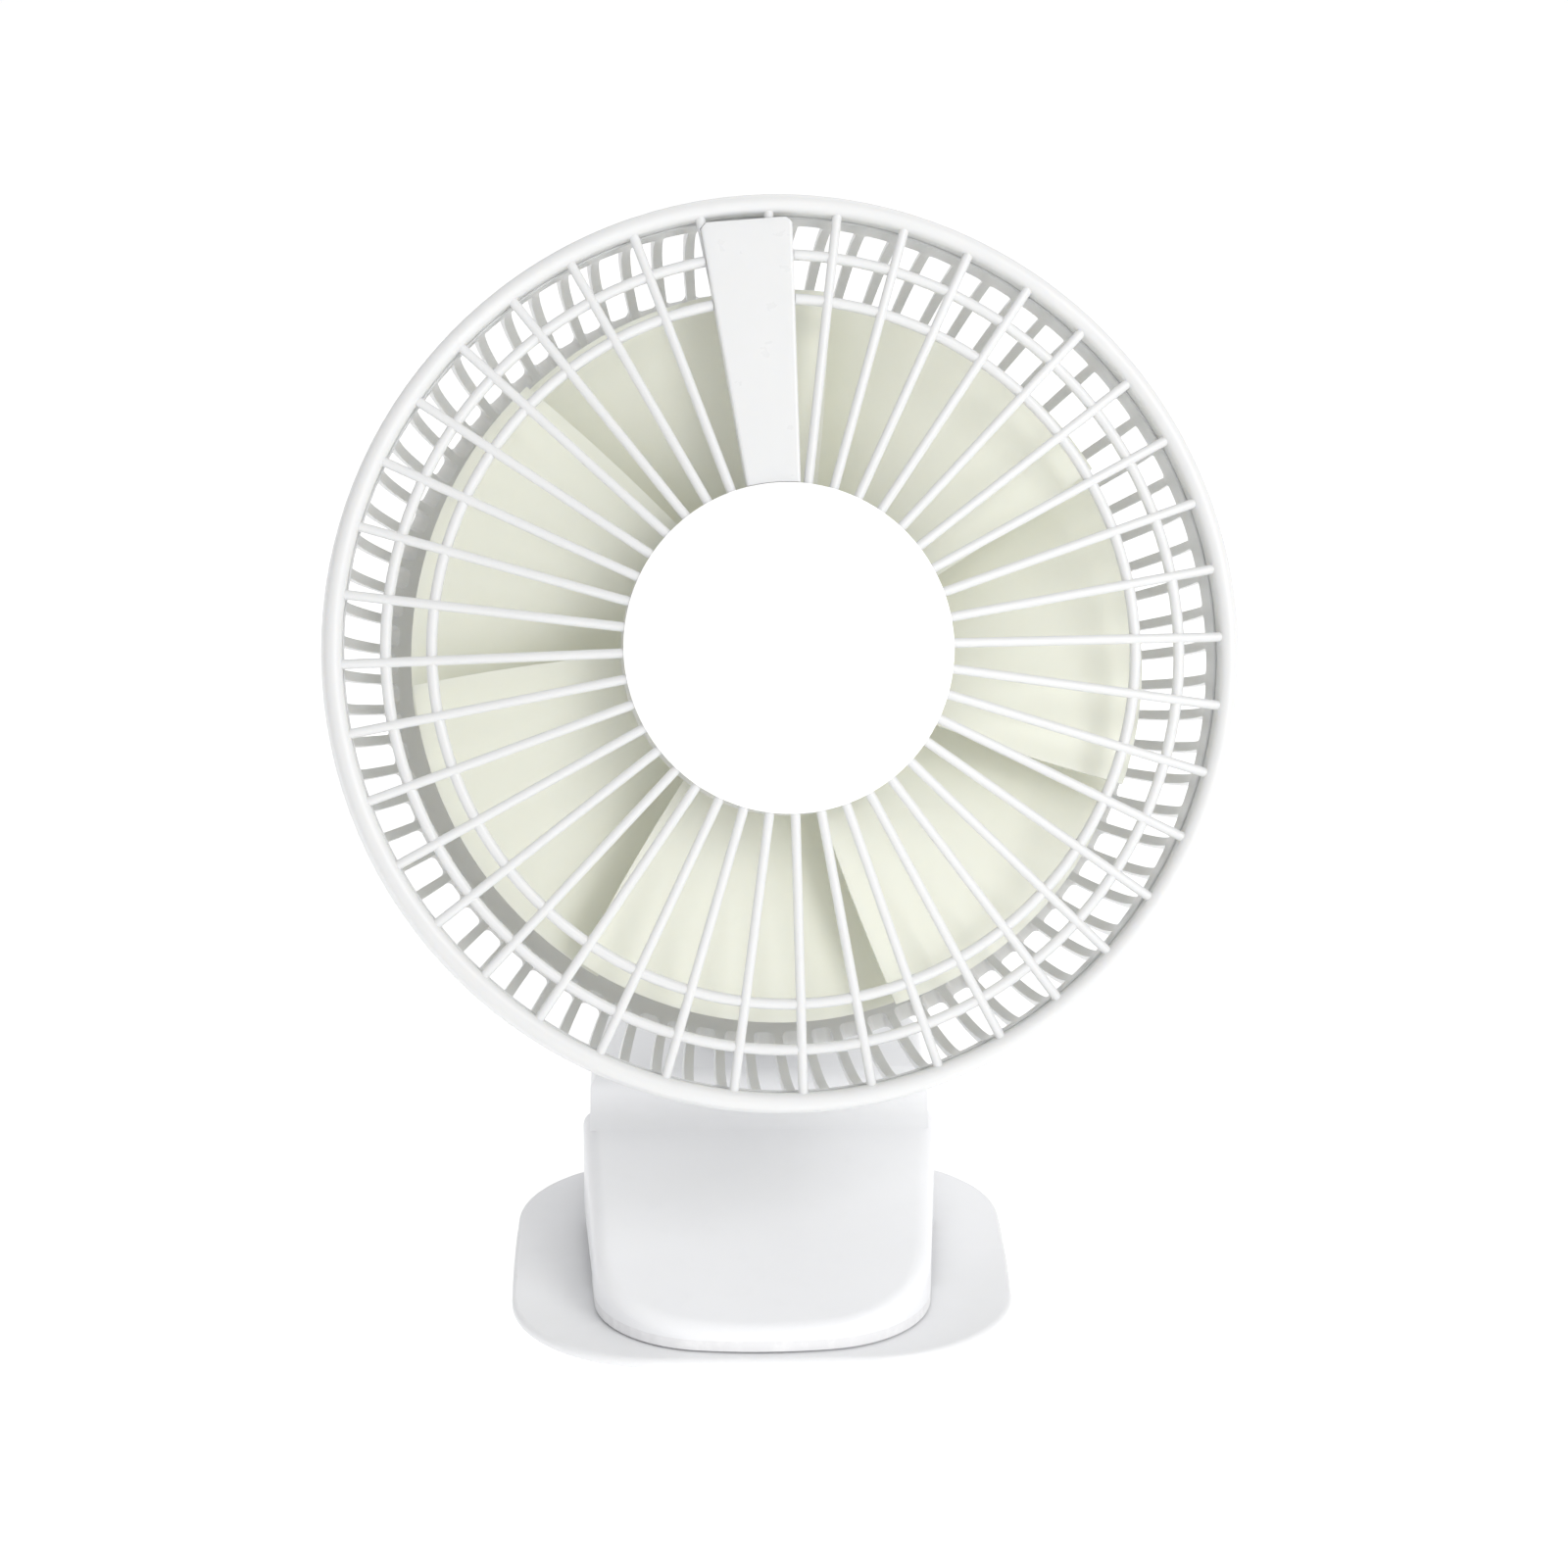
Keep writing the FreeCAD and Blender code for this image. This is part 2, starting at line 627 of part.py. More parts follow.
def motor_magnets():
    ring = tube_y(CAN_R - CAN_WALL, ROTOR_R + ROTOR_GAP, ROTOR_FRONT - 1, ROTOR_BACK + 1)
    gap = box(-1.5, 1.5, 0, CAGE_DEPTH, -CAN_R, CAN_R)
    return group(ring.cut(gap).Solids)


def motor_rotor():
    core = rod_y(ROTOR_R, ROTOR_FRONT, ROTOR_BACK)
    slots = around(box(0.45 * ROTOR_R, ROTOR_R + 1, 0, CAGE_DEPTH, -0.8, 0.8), 3)
    commutator = rod_y(LOCK_R, ROTOR_BACK - 1, CAN_BACK - CAP_T - BEARING_LENGTH)
    return solid_of(core.cut(slots).fuse(commutator).cut(rod_y(SHAFT_R, 0, CAGE_DEPTH)))


def motor_shaft():
    return rod_y(SHAFT_R, IMPELLER_FRONT - LOCK_T - 0.5, CAN_BACK - 0.4 * CAP_T)


def screw_y(radius, tip, seat, x, z):
    """Round-headed screw along Y, driven from the back, with a cross in its head."""
    shank = rod_y(radius, tip, seat + SCREW_HEAD_T / 3, x=x, z=z)
    head = rod_y(2 * radius, seat, seat + SCREW_HEAD_T, x=x, z=z)
    floor = seat + SCREW_HEAD_T / 2
    arm, half = 1.2 * radius, 0.25 * radius
    cross = [box(x - arm, x + arm, floor, floor + SCREW_HEAD_T, z - half, z + half),
             box(x - half, x + half, floor, floor + SCREW_HEAD_T, z - arm, z + arm)]
    return shank.fuse(head.cut(cross))


def motor_screws():
    return group([screw_y(SCREW_R, CAN_BACK - CAP_T, CAGE_DEPTH, side * MOTOR_SCREW_X, 0.0)
                  for side in (-1, 1)])


# ---- rear cover, which carries the tilt lug -----------------------------------------
COVER_SCREW_SEAT = REAR_COVER_BACK - 1.6


def rear_cover():
    front = CAGE_DEPTH
    back = REAR_COVER_BACK
    bevel = REAR_COVER_BEVEL
    wall = REAR_COVER_WALL
    dome = spun([(0, front), (REAR_COVER_R, front), (REAR_COVER_R, back - bevel),
                 (REAR_COVER_R - bevel, back), (0, back)])
    rims = edges_where(dome, lambda b: b.YLength < 0.01 and b.YMin > front + 1)
    dome = dome.makeFillet(0.9 * wall, rims)
    inner_r = REAR_COVER_R - wall
    hollow = spun([(0, front - 1), (inner_r, front - 1), (inner_r, back - 1.2 * bevel),
                   (REAR_COVER_R - 1.3 * bevel, back - wall), (0, back - wall)])
    lug = box(-LUG_HALF, LUG_HALF, back - wall / 2, TILT_DEPTH, -LUG_R, LUG_R)
    lug = lug.fuse(rod_x(LUG_R, -LUG_HALF, LUG_HALF, y=TILT_DEPTH))
    posts = [rod_y(SCREW_POST_R, front, back - wall / 2, x=x, z=z) for x, z in screw_circle()]
    shape = dome.cut(hollow).fuse(posts + [lug])
    holes = [rod_x(TILT_BOLT_R + PIN_CLEARANCE, -LUG_HALF - 1, LUG_HALF + 1, y=TILT_DEPTH)]
    for x, z in screw_circle():
        holes.append(rod_y(COVER_SCREW_R, front - 1, back + 1, x=x, z=z))
        holes.append(rod_y(2 * COVER_SCREW_R + COVER_FIT, COVER_SCREW_SEAT, back + 1, x=x, z=z))
    return solid_of(shape.cut(holes))


def rear_cover_screws():
    return group([screw_y(COVER_SCREW_R, CAGE_DEPTH - CAGE_WALL, COVER_SCREW_SEAT, x, z)
                  for x, z in screw_circle()])


def driver_board():
    front = CAGE_DEPTH + SCREW_HEAD_T + 0.8
    back = front + BOARD_T
    disc = rod_y(REAR_COVER_R - 9.0, front, back)
    half = DRIVER_CHIP / 2
    chip = box(-half, half, back, back + BOARD_T, -half, half)
    return solid_of(disc.fuse(chip))


# ---- neck ---------------------------------------------------------------------------
FOOT_Z = BLOCK_TOP + SWIVEL_GAP                # underside of the neck's foot
EAR_INNER = LUG_HALF + EAR_GAP
RING_TOP = BLOCK_TOP - BOSS_HEIGHT - SWIVEL_GAP


def neck_outline(inset, bottom):
    """Side outline of the neck, without its round top, as (y, z) pairs."""
    top = TILT_HEIGHT
    return [(-NECK_FOOT_HALF + inset, bottom), (NECK_FOOT_HALF - inset, bottom),
            (TILT_LEAN + EAR_R - inset, top), (TILT_LEAN - EAR_R + inset, top)]


def neck_solid():
    arm = side_prism(neck_outline(0.0, FOOT_Z), -NECK_HALF, NECK_HALF)
    arm = arm.fuse(rod_x(EAR_R, -NECK_HALF, NECK_HALF, y=TILT_LEAN, z=TILT_HEIGHT))
    arm = arm.removeSplitter()
    sides = edges_where(arm, lambda b: b.XLength < 0.01 and b.ZLength > EAR_R / 2)
    arm = arm.makeFillet(NECK_ROUND, sides)
    return arm.fuse(rod_z(FLANGE_R, FOOT_Z, FOOT_Z + FLANGE_T))


def neck_hollow():
    low = FOOT_Z + NECK_WALL
    high = NECK_SPLIT_TOP - NECK_WALL
    middle = neck_split(high)
    reach = neck_back(high) - middle - 1.4 * NECK_WALL
    inside = [(NECK_WALL - NECK_FOOT_HALF, low), (NECK_FOOT_HALF - NECK_WALL, low),
              (middle + reach, high), (middle - reach, high)]
    return side_prism(inside, NECK_WALL - NECK_HALF, NECK_HALF - NECK_WALL)


def neck_split(z):
    """Middle line of the neck, where its two shells meet."""
    return TILT_LEAN * (z - FOOT_Z) / (TILT_HEIGHT - FOOT_Z)


def front_half():
    low = FOOT_Z + FLANGE_T
    far = -NECK_FOOT_HALF - NECK_HALF
    return side_prism([(far, low), (neck_split(low), low),
                       (neck_split(NECK_SPLIT_TOP), NECK_SPLIT_TOP), (far, NECK_SPLIT_TOP)],
                      -NECK_HALF - 1, NECK_HALF + 1)


def neck_screw_heights():
    return [FOOT_Z + 13.0, NECK_SPLIT_TOP - 12.0]


def neck_posts():
    """Screw posts through the whole neck, before they are shared between its shells."""
    outer = neck_solid()
    far = NECK_FOOT_HALF + NECK_HALF
    return [rod_y(SCREW_POST_R, -far, far, z=z).common(outer) for z in neck_screw_heights()]


def neck_front_shell():
    shell = neck_solid().cut(neck_hollow()).common(front_half())
    shell = shell.fuse([post.common(front_half()) for post in neck_posts()])
    holes = [rod_y(SCREW_R, neck_split(z) - NECK_SCREW_BITE, neck_split(z) + 1, z=z)
             for z in neck_screw_heights()]
    return solid_of(shell.cut(holes))


def neck_rear_shell():
    shell = neck_solid().cut([neck_hollow(), front_half()])
    shell = shell.fuse([post.cut(front_half()) for post in neck_posts()])
    cuts = [box(-EAR_INNER, EAR_INNER, -20, 20, TILT_HEIGHT - FORK_DEPTH, TILT_HEIGHT + 20),
            rod_x(TILT_BOLT_R, -NECK_HALF - 1, NECK_HALF + 1, y=TILT_LEAN, z=TILT_HEIGHT),
            rod_z(POST_R, FOOT_Z - 1, FOOT_Z + 3)]
    for z in neck_screw_heights():
        cuts.append(rod_y(SCREW_R, -1, 20, z=z))
        cuts.append(rod_y(2 * SCREW_R + COVER_FIT, screw_seat(z), 20, z=z))
    return solid_of(shell.cut(cuts))


def neck_back(z):
    """Back surface of the neck at a height."""
    share = (z - FOOT_Z) / (TILT_HEIGHT - FOOT_Z)
    return NECK_FOOT_HALF + share * (TILT_LEAN + EAR_R - NECK_FOOT_HALF)


def screw_seat(z):
    return neck_back(z) - 1.5 * SCREW_HEAD_T


def neck_screws():
    return group([screw_y(SCREW_R, neck_split(z) - NECK_SCREW_BITE, screw_seat(z), 0.0, z)
                  for z in neck_screw_heights()])


def tilt_bolt():
    head_t = 1.2 * TILT_BOLT_R
    shank = rod_x(TILT_BOLT_R, -NECK_HALF - NUT_T - 0.2, NECK_HALF, y=TILT_LEAN, z=TILT_HEIGHT)
    head = rod_x(2.1 * TILT_BOLT_R, NECK_HALF, NECK_HALF + head_t, y=TILT_LEAN, z=TILT_HEIGHT)
    rim = edges_where(head, lambda b: b.XMin > NECK_HALF + head_t - 0.1)
    return shank.fuse(head.makeFillet(0.4 * head_t, rim))


def tilt_nut():
    corners = []
    for step in range(6):
        angle = math.radians(60 * step)
        corners.append((TILT_LEAN + NUT_R * math.cos(angle), TILT_HEIGHT + NUT_R * math.sin(angle)))
    nut = side_prism(corners, -NECK_HALF - NUT_T, -NECK_HALF)
    return nut.cut(rod_x(TILT_BOLT_R, -NECK_HALF - 2 * NUT_T, 0, y=TILT_LEAN, z=TILT_HEIGHT))


def tilt_washers():
    washer = rod_x(0.7 * LUG_R, EAR_INNER - WASHER_T, EAR_INNER, y=TILT_LEAN, z=TILT_HEIGHT)
    washer = washer.cut(rod_x(TILT_BOLT_R, 0, NECK_HALF, y=TILT_LEAN, z=TILT_HEIGHT))
    return group([washer, mirrored_x(washer)])


def swivel_post():
    seat = FOOT_Z + NECK_WALL
    tube = rod_z(POST_R, RING_TOP - 2 * RING_T, seat)
    flange = rod_z(POST_R + POST_WALL, seat, seat + RING_T)
    bore = rod_z(POST_R - POST_WALL, 0, TILT_HEIGHT)
    return solid_of(tube.fuse(flange).cut(bore))


def swivel_ring():
    """Open spring ring that keeps the post in the body."""
    ring = rod_z(POST_R + RING_WIDTH, RING_TOP - RING_T, RING_TOP).cut(rod_z(POST_R, 0, BLOCK_TOP))
    return ring.cut(box(-POST_R / 3, POST_R / 3, 0, 20, 0, BLOCK_TOP))


# ---- body, the clip's upper jaw --------------------------------------------------------
JAW_RISE = math.tan(math.radians(JAW_SLOPE))
TAIL_RISE = math.tan(math.radians(TAIL_SLOPE))


def jaw_top(y):
    return BODY_BOTTOM + JAW_LIP + (y - JAW_FRONT) * JAW_RISE


def jaw_prism(inset, bottom, top):
    """The jaw's plan outline as an upright prism, drawn in by a wall thickness."""
    front = JAW_FRONT + inset
    half_front = JAW_FRONT_WIDTH / 2 - inset
    half_rear = JAW_REAR_WIDTH / 2 - inset
    rear = JAW_REAR_Y - inset
    bow = Part.Arc(point(-half_front, front + JAW_BOW, bottom), point(0, front, bottom),
                   point(half_front, front + JAW_BOW, bottom)).toShape()
    sides = Part.makePolygon([
        point(half_front, front + JAW_BOW, bottom),
        point(half_rear, rear, bottom),
        point(-half_rear, rear, bottom),
        point(-half_front, front + JAW_BOW, bottom),
    ])
    prism = Part.Face(Part.Wire([bow] + sides.Edges)).extrude(point(0, 0, top - bottom))
    corners = [edge for edge in upright_edges(prism) if edge.BoundBox.YMax < front + JAW_BOW + 1]
    return prism.makeFillet(JAW_CORNER_R - inset, corners)


def above_jaw(drop):
    """Everything above the jaw's sloping top, which may be lowered."""
    low = JAW_FRONT - 20
    high = BLOCK_BACK + 20
    return side_prism([(low, jaw_top(low) - drop), (high, jaw_top(high) - drop),
                       (high, 3 * BLOCK_TOP), (low, 3 * BLOCK_TOP)], -BLOCK_WIDTH, BLOCK_WIDTH)


def block(inset, top):
    half = BLOCK_WIDTH / 2 - inset
    shape = box(-half, half, BLOCK_FRONT + inset, BLOCK_BACK - inset, BODY_BOTTOM - 1, top)
    rear = [edge for edge in upright_edges(shape) if edge.BoundBox.YMin > BLOCK_FRONT + 5]
    return shape.makeFillet(BLOCK_CORNER_R - inset, rear)


def jaw_blend():
    """Hollow curve that carries the jaw's slope up into the front of the block."""
    slope = math.radians(JAW_SLOPE)
    half = BLOCK_WIDTH / 2
    centre_y = BLOCK_FRONT - BLEND_R
    centre_z = jaw_top(centre_y) + BLEND_R / math.cos(slope)
    low_y = centre_y + BLEND_R * math.sin(slope)
    wedge = side_prism([(low_y, jaw_top(low_y)), (BLOCK_FRONT + EDGE_R, jaw_top(low_y)),
                        (BLOCK_FRONT + EDGE_R, centre_z), (low_y, centre_z)], -half, half)
    return wedge.cut(rod_x(BLEND_R, -half - 1, half + 1, centre_y, centre_z))


def body_outer():
    jaw = jaw_prism(0.0, BODY_BOTTOM - 1, 2 * BLOCK_TOP).cut(above_jaw(0.0))
    top_face = max(jaw.Faces, key=lambda face: face.CenterOfMass.z * (face.normalAt(0, 0).z > 0.5))
    visible = [edge for edge in top_face.Edges if edge.BoundBox.YMin < JAW_REAR_Y - 1]
    jaw = jaw.makeFillet(0.9 * EDGE_R, visible)
    rear = block(0.0, BLOCK_TOP)
    rims = edges_where(rear, lambda b: b.ZMin > BLOCK_TOP - 0.01)
    return jaw.fuse([rear.makeFillet(EDGE_R, rims), jaw_blend()])


def below_body(raise_by):
    """Everything below the body's underside, which rises towards the tail."""
    z = BODY_BOTTOM + raise_by
    end = BLOCK_BACK + 20
    return side_prism([(JAW_FRONT - 20, -20), (end, -20),
                       (end, z + (end - TAIL_START) * TAIL_RISE), (TAIL_START, z),
                       (JAW_FRONT - 20, z)], -BLOCK_WIDTH, BLOCK_WIDTH)


def body_hollow(extra):
    """Inside of the body; extra draws it in further, for pieces that fit in it."""
    wall = BODY_WALL + extra
    jaw = jaw_prism(wall, BODY_BOTTOM - 1, 2 * BLOCK_TOP)
    jaw = jaw.cut(above_jaw(wall / math.cos(math.radians(JAW_SLOPE))))
    link = box(-BLOCK_WIDTH / 2 + wall + 2, BLOCK_WIDTH / 2 - wall - 2, 0, BLOCK_FRONT + 6,
               BODY_BOTTOM - 1, jaw_top(0) - wall - 1)
    return jaw.fuse([block(wall, BLOCK_TOP - wall), link])


def body_screw_places():
    front = [(side * JAW_SCREW_X, JAW_FRONT + 33.0) for side in (-1, 1)]
    rear = [(side * TAIL_SCREW_X, HINGE_Y - 6.0) for side in (-1, 1)]
    return front + rear


def body_screw_top(y):
    return jaw_top(y) - 2.5 * BODY_WALL


def body_top_shell():
    outer = body_outer()
    floor = BODY_BOTTOM + BODY_WALL
    adds = [rod_z(SCREW_POST_R, floor, BLOCK_TOP, x, y).common(outer)
            for x, y in body_screw_places()]
    adds.append(rod_z(POST_R + BOSS_WALL, BLOCK_TOP - BOSS_HEIGHT, BLOCK_TOP - 1, y=SWIVEL_Y))
    cheek_start = EAR_X + EAR_T / 2 + EAR_PLAY
    cheek = rod_x(HINGE_PIN_R + 2, cheek_start, BLOCK_WIDTH / 2 - 1, HINGE_Y, HINGE_Z)
    adds += [cheek, mirrored_x(cheek)]
    shape = outer.cut(body_hollow(0.0)).fuse(adds)
    cuts = [below_body(0.0), rod_z(POST_R + RUNNING_FIT, 0, BLOCK_TOP + 1, y=SWIVEL_Y)]
    cuts.append(rod_x(HINGE_PIN_R, -pin_half(), pin_half(), HINGE_Y, HINGE_Z))
    cuts += [rod_z(SCREW_R, 0, body_screw_top(y) + 1, x, y) for x, y in body_screw_places()]
    inside = BLOCK_BACK - 2 * BODY_WALL
    cuts.append(rod_y(BUTTON_R + PART_GAP, inside, BLOCK_BACK + 1, z=BUTTON_Z))
    cuts.append(usb_outline(COVER_FIT, inside, BLOCK_BACK + 1))
    cuts += [rod_y(LENS_R, inside, BLOCK_BACK + 1, x=x, z=BUTTON_Z) for x in lens_places()]
    return solid_of(shape.cut(cuts))


def ear_slots(margin):
    half = EAR_T / 2 + margin
    reach = 2.2 * PLATE_EAR_R
    front, back = HINGE_Y - reach, HINGE_Y + reach
    return [box(side * EAR_X - half, side * EAR_X + half, front, back, 0, 2 * HINGE_Z)
            for side in (-1, 1)]


def body_bottom_shell():
    slab = below_body(BODY_WALL).cut(below_body(0.0))
    shape = slab.common(body_hollow(COVER_FIT))
    cuts = ear_slots(EAR_PLAY)
    half = SPRING_HALF + 2
    reach = SPRING_LEG + 2
    cuts.append(box(-half, half, HINGE_Y - reach, HINGE_Y + reach, 0, 2 * HINGE_Z))
    for x, y in body_screw_places():
        cuts.append(rod_z(SCREW_R, 0, BLOCK_TOP, x, y))
        cuts.append(rod_z(2 * SCREW_R + COVER_FIT, 0, BODY_BOTTOM + BODY_WALL / 2, x, y))
    return solid_of(shape.cut(cuts))


def body_screws():
    screws = []
    for x, y in body_screw_places():
        seat = BODY_BOTTOM + BODY_WALL / 2
        head = rod_z(2 * SCREW_R, BODY_BOTTOM, seat, x, y)
        slot = box(x - SCREW_R, x + SCREW_R, y - SCREW_R / 4, y + SCREW_R / 4, 0, seat - 0.4)
        shank = rod_z(SCREW_R, seat - 0.2, body_screw_top(y), x, y)
        screws.append(head.cut(slot).fuse(shank))
    return group(screws)


def jaw_pad():
    pad = jaw_prism(0.0, BODY_BOTTOM - PAD_T, BODY_BOTTOM)
    pad_back = JAW_FRONT + PAD_DEPTH
    return pad.cut(box(-BLOCK_WIDTH, BLOCK_WIDTH, pad_back, BLOCK_WIDTH, 0, 2 * BODY_BOTTOM))


def battery():
    low = BODY_BOTTOM + BODY_WALL + 0.2
    half = CELL_WIDTH / 2
    back = BLOCK_FRONT - 5.0
    cell = box(-half, half, back - CELL_LENGTH, back, low, low + CELL_T)
    return cell.makeFillet(CELL_T / 4, edges_where(cell, lambda b: b.YLength > CELL_T))


BOARD_FACE = BLOCK_BACK - BODY_WALL - BOARD_BEHIND
BOARD_TOP = RING_TOP - RING_T - 2 * PART_GAP       # clear of the turning swivel ring


def control_board():
    back = BOARD_FACE
    front = back - BOARD_T
    half = CONTROL_BOARD_WIDTH / 2
    low = CONTROL_BOARD_LOW + 1.5
    switch_face = BLOCK_BACK - 2 * BUTTON_SINK
    switch_low = BUTTON_Z - SWITCH_HALF
    board = box(-half, half, front, back, CONTROL_BOARD_LOW, BOARD_TOP)
    switch = box(-SWITCH_HALF, SWITCH_HALF, back, switch_face, switch_low, BOARD_TOP - PART_GAP)
    chip = box(CHIP_X, CHIP_X + 6, front - CHIP_T, front, low, low + 5)
    plug = box(-PLUG_X, 6 - PLUG_X, front - PLUG_T, front, low, low + 4)
    return solid_of(board.fuse([switch, chip, plug]))


def usb_outline(margin, front, back):
    half = USB_WIDTH / 2 + margin
    tall = USB_HEIGHT / 2 + margin
    shape = box(USB_X - half, USB_X + half, front, back, BUTTON_Z - tall, BUTTON_Z + tall)
    return shape.makeFillet(tall * 0.95, edges_where(shape, lambda b: b.YLength > 1))


def usb_socket():
    front = BOARD_FACE
    shell = usb_outline(0.0, front, BLOCK_BACK - COVER_FIT)
    mouth = usb_outline(-USB_WALL, front + 2 * USB_WALL, BLOCK_BACK + 1)
    half = 0.37 * USB_WIDTH
    tongue = box(USB_X - half, USB_X + half, front, BLOCK_BACK - 2 * USB_WALL,
                 BUTTON_Z - USB_WALL, BUTTON_Z + USB_WALL)
    return solid_of(shell.cut(mouth).fuse(tongue))


def lens_places():
    return [LENS_X + LENS_PITCH * step for step in range(LENS_COUNT)]


def indicator_lenses():
    front = BLOCK_BACK - BODY_WALL - BOARD_BEHIND / 2
    return group([rod_y(LENS_R, front, BLOCK_BACK + COVER_FIT, x=x, z=BUTTON_Z)
                  for x in lens_places()])


def power_button():
    cap = rod_y(BUTTON_R, BLOCK_BACK - BUTTON_SINK, BLOCK_BACK + BUTTON_PROUD, z=BUTTON_Z)
    rim = edges_where(cap, lambda b: b.YMin > BLOCK_BACK + BUTTON_PROUD - 0.1)
    return cap.makeFillet(BUTTON_PROUD / 2, rim)


# ---- base plate and clip hinge -----------------------------------------------------------
SPRING_HALF = SPRING_PITCH * SPRING_TURNS / 2
PLATE_TOP = SOLE_T + PLATE_T


def pin_half():
    return BLOCK_WIDTH / 2 - BODY_WALL - COVER_FIT


def plate_prism(inset, bottom, top):
    """Square with bowed sides and round corners, as an upright prism."""
    half_x = PLATE_WIDTH / 2 - inset
    half_y = PLATE_DEPTH / 2 - inset
    corner_x = half_x - PLATE_BOW
    corner_y = half_y - PLATE_BOW
    corners = [point(-corner_x, -corner_y, bottom), point(corner_x, -corner_y, bottom),
               point(corner_x, corner_y, bottom), point(-corner_x, corner_y, bottom)]
    middles = [point(0, -half_y, bottom), point(half_x, 0, bottom),
               point(0, half_y, bottom), point(-half_x, 0, bottom)]
    edges = [Part.Arc(corners[side], middles[side], corners[(side + 1) % 4]).toShape()
             for side in range(4)]
    prism = Part.Face(Part.Wire(edges)).extrude(point(0, 0, top - bottom))
    return prism.makeFillet(PLATE_CORNER_R - inset, upright_edges(prism))


def plate_ear(x):
    """Hinge ear that rises from the plate, from its left face at x."""
    root = PLATE_TOP - PLATE_T / 2
    foot = [(HINGE_Y - 1.3 * PLATE_EAR_R, root), (HINGE_Y + 1.1 * PLATE_EAR_R, root),
            (HINGE_Y + PLATE_EAR_R, HINGE_Z), (HINGE_Y - PLATE_EAR_R, HINGE_Z)]
    return side_prism(foot, x, x + EAR_T).fuse(rod_x(PLATE_EAR_R, x, x + EAR_T, HINGE_Y, HINGE_Z))


def base_plate():
    slab = plate_prism(0.0, SOLE_T, PLATE_TOP)
    rims = edges_where(slab, lambda b: b.ZLength < 0.01)
    slab = slab.makeFillet(PLATE_EDGE_R, rims)
    reach = PLATE_WIDTH / 2
    dish_r = (reach ** 2 + PLATE_DISH ** 2) / (2 * PLATE_DISH)
    slab = slab.cut(Part.makeSphere(dish_r, point(0, 0, PLATE_TOP - PLATE_DISH + dish_r)))
    ears = [plate_ear(EAR_X - EAR_T / 2), plate_ear(-EAR_X - EAR_T / 2)]
    shape = slab.fuse(ears)
    return solid_of(shape.cut(rod_x(HINGE_PIN_R + PIN_CLEARANCE, -reach, reach, HINGE_Y, HINGE_Z)))


def base_sole():
    return plate_prism(SOLE_INSET, 0.0, SOLE_T)


def hinge_pin():
    return rod_x(HINGE_PIN_R, -pin_half(), pin_half(), HINGE_Y, HINGE_Z)


def pin_clips():
    right = EAR_X - EAR_T / 2 - EAR_PLAY
    mouth = 0.8 * HINGE_PIN_R
    clip = rod_x(2.1 * HINGE_PIN_R, right - PIN_CLIP_T, right, HINGE_Y, HINGE_Z)
    clip = clip.cut(rod_x(HINGE_PIN_R, 0, EAR_X, HINGE_Y, HINGE_Z))
    clip = clip.cut(box(0, EAR_X, HINGE_Y - mouth, HINGE_Y + mouth, 0, HINGE_Z))
    return group([clip, mirrored_x(clip)])


def torsion_spring():
    helix = Part.makeHelix(SPRING_PITCH, SPRING_PITCH * SPRING_TURNS, SPRING_COIL_R)
    ring = Part.Wire(Part.makeCircle(SPRING_WIRE_R, point(SPRING_COIL_R, 0, 0), BACK))
    coil = Part.Wire(helix).makePipeShell([ring], True, True)
    coil.rotate(CENTRE, BACK, 90)
    coil.translate(point(-SPRING_HALF, HINGE_Y, HINGE_Z))
    low = HINGE_Z - SPRING_COIL_R
    leg_foot = point(-SPRING_HALF, HINGE_Y, low)
    arm_foot = point(SPRING_HALF, HINGE_Y, low)
    leg = Part.makeCylinder(SPRING_WIRE_R, SPRING_LEG, leg_foot, point(0, -1, -0.36))
    arm = Part.makeCylinder(SPRING_WIRE_R, SPRING_LEG, arm_foot, point(0, 1, 0.25))
    return coil.fuse([leg, arm])


# ---- write every piece ----------------------------------------------------------------
HEAD_PIECES = [front_guard, wire_cover, lamp_diffuser, lamp_board, lamp_leds, rear_guard,
               impeller, impeller_lock, motor_can, motor_end_cap, motor_bearings, motor_magnets,
               motor_rotor, motor_shaft, motor_screws, rear_cover, rear_cover_screws, driver_board]
NECK_PIECES = [neck_front_shell, neck_rear_shell, neck_screws, tilt_bolt, tilt_nut, tilt_washers,
               swivel_post, swivel_ring]
BASE_PIECES = [body_top_shell, body_bottom_shell, body_screws, jaw_pad, battery, control_board,
               usb_socket, indicator_lenses, power_button, base_plate, base_sole, hinge_pin,
               pin_clips, torsion_spring]


def main():
    os.makedirs("parts", exist_ok=True)
    for piece in HEAD_PIECES:
        save(piece.__name__, place_head(piece()))
    for piece in NECK_PIECES:
        save(piece.__name__, place_neck(piece()))
    for piece in BASE_PIECES:
        save(piece.__name__, piece())


main()
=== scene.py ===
import json
import math

import bmesh
import bpy
from mathutils import Matrix, Vector


